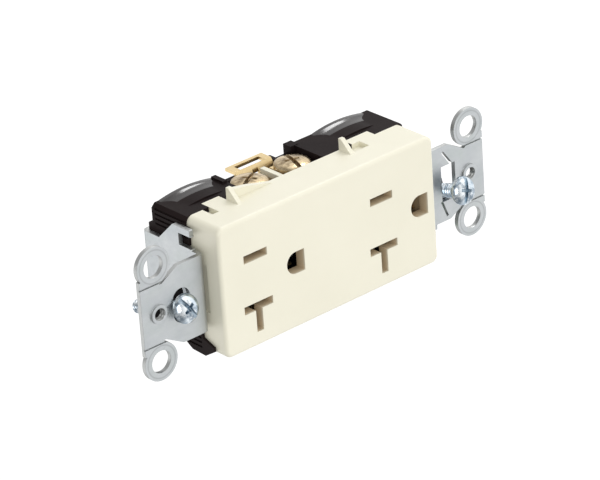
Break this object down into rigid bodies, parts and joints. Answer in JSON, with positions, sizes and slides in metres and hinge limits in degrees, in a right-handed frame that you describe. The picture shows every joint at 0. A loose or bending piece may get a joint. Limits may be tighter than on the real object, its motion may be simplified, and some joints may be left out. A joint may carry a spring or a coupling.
{
  "type": "duplex wall outlet",
  "caption": "Decorator-style duplex wall outlet with slotted and U-shaped plug openings, wrap-around steel mounting strap, side terminal screws and captive mounting screws.",
  "frame": {"origin": "centre of the device in the front plane of the strap's end plates, midway between the two cover plate screw holes", "axes": "+Z along the device's length, up when it is installed with the earth holes down; -Y out of the wall, the way the face looks; +X to the right when facing it, the hot side"},
  "size_m": [0.039, 0.0286, 0.107],
  "materials": {
    "cover_plastic": "satin, light almond thermoplastic",
    "housing_plastic": "semi-gloss black thermoplastic",
    "zinc_steel": "zinc-plated sheet steel, dull",
    "brass": "plain rolled brass",
    "nickel_brass": "nickel-plated brass",
    "brass_screw": "brass-plated screw",
    "nickel_screw": "nickel-plated screw",
    "green_screw": "green-dyed screw",
    "zinc_screw": "bright blue-zinc screw",
    "retainer_fibre": "dull black pressed fibre"
  },
  "bodies": {
    "outlet": {"face_cover": "cover_plastic", "rear_housing": "housing_plastic", "mounting_strap": "zinc_steel", "hot_bus_bar": "brass", "neutral_bus_bar": "nickel_brass", "ground_contact_upper": "brass", "ground_contact_lower": "brass", "ground_rivets": "brass"},
    "hot_clamp_upper_body": {"hot_clamp_upper": "brass"},
    "hot_screw_upper_body": {"hot_screw_upper": "brass_screw"},
    "hot_clamp_lower_body": {"hot_clamp_lower": "brass"},
    "hot_screw_lower_body": {"hot_screw_lower": "brass_screw"},
    "neutral_clamp_upper_body": {"neutral_clamp_upper": "nickel_brass"},
    "neutral_screw_upper_body": {"neutral_screw_upper": "nickel_screw"},
    "neutral_clamp_lower_body": {"neutral_clamp_lower": "nickel_brass"},
    "neutral_screw_lower_body": {"neutral_screw_lower": "nickel_screw"},
    "ground_clamp_body": {"ground_clamp": "zinc_steel"},
    "ground_screw_body": {"ground_screw": "green_screw"},
    "screw_retainer_upper_body": {"screw_retainer_upper": "retainer_fibre"},
    "mounting_screw_upper_body": {"mounting_screw_upper": "zinc_screw"},
    "screw_retainer_lower_body": {"screw_retainer_lower": "retainer_fibre"},
    "mounting_screw_lower_body": {"mounting_screw_lower": "zinc_screw"}
  },
  "joints": [
    {"name": "hot_upper_travel", "type": "slide", "parent": "outlet", "child": "hot_clamp_upper_body", "axis": [1, 0, 0], "range_m": [-0.00119, 0.00119]},
    {"name": "hot_upper_turn", "type": "hinge", "parent": "hot_clamp_upper_body", "child": "hot_screw_upper_body", "pos_m": [0.0154, 0.0115, 0.0099], "axis": [1, 0, 0], "range_deg": [-545, 545]},
    {"name": "hot_lower_travel", "type": "slide", "parent": "outlet", "child": "hot_clamp_lower_body", "axis": [1, 0, 0], "range_m": [-0.00119, 0.00119]},
    {"name": "hot_lower_turn", "type": "hinge", "parent": "hot_clamp_lower_body", "child": "hot_screw_lower_body", "pos_m": [0.0154, 0.0115, -0.0033], "axis": [1, 0, 0], "range_deg": [-545, 545]},
    {"name": "neutral_upper_travel", "type": "slide", "parent": "outlet", "child": "neutral_clamp_upper_body", "axis": [-1, 0, 0], "range_m": [-0.00119, 0.00119]},
    {"name": "neutral_upper_turn", "type": "hinge", "parent": "neutral_clamp_upper_body", "child": "neutral_screw_upper_body", "pos_m": [-0.0154, 0.0115, 0.0099], "axis": [-1, 0, 0], "range_deg": [-545, 545]},
    {"name": "neutral_lower_travel", "type": "slide", "parent": "outlet", "child": "neutral_clamp_lower_body", "axis": [-1, 0, 0], "range_m": [-0.00119, 0.00119]},
    {"name": "neutral_lower_turn", "type": "hinge", "parent": "neutral_clamp_lower_body", "child": "neutral_screw_lower_body", "pos_m": [-0.0154, 0.0115, -0.0033], "axis": [-1, 0, 0], "range_deg": [-545, 545]},
    {"name": "ground_travel", "type": "slide", "parent": "outlet", "child": "ground_clamp_body", "axis": [-1, 0, 0], "range_m": [-0.0007, 0.00199]},
    {"name": "ground_turn", "type": "hinge", "parent": "ground_clamp_body", "child": "ground_screw_body", "pos_m": [-0.017, 0.009, -0.0388], "axis": [-1, 0, 0], "range_deg": [-320, 905]},
    {"name": "mounting_upper_travel", "type": "slide", "parent": "outlet", "child": "screw_retainer_upper_body", "axis": [0.2924, -0.9563, 0], "range_m": [0, 0.002]},
    {"name": "mounting_upper_spin", "type": "hinge", "parent": "screw_retainer_upper_body", "child": "mounting_screw_upper_body", "pos_m": [-0.0006, -0.0019, 0.04165], "axis": [0.2924, -0.9563, 0], "continuous": true},
    {"name": "mounting_lower_travel", "type": "slide", "parent": "outlet", "child": "screw_retainer_lower_body", "axis": [0.2924, -0.9563, 0], "range_m": [-0.0036, 0]},
    {"name": "mounting_lower_spin", "type": "hinge", "parent": "screw_retainer_lower_body", "child": "mounting_screw_lower_body", "pos_m": [-0.0006, -0.0054, -0.04165], "axis": [0.2924, -0.9563, 0], "continuous": true}
  ],
  "couplings": [
    {"joint": "hot_upper_turn", "follows": "hot_upper_travel", "rad_per_m": 7915.8},
    {"joint": "hot_lower_turn", "follows": "hot_lower_travel", "rad_per_m": 7915.8},
    {"joint": "neutral_upper_turn", "follows": "neutral_upper_travel", "rad_per_m": 7915.8},
    {"joint": "neutral_lower_turn", "follows": "neutral_lower_travel", "rad_per_m": 7915.8},
    {"joint": "ground_turn", "follows": "ground_travel", "rad_per_m": 7915.8}
  ]
}
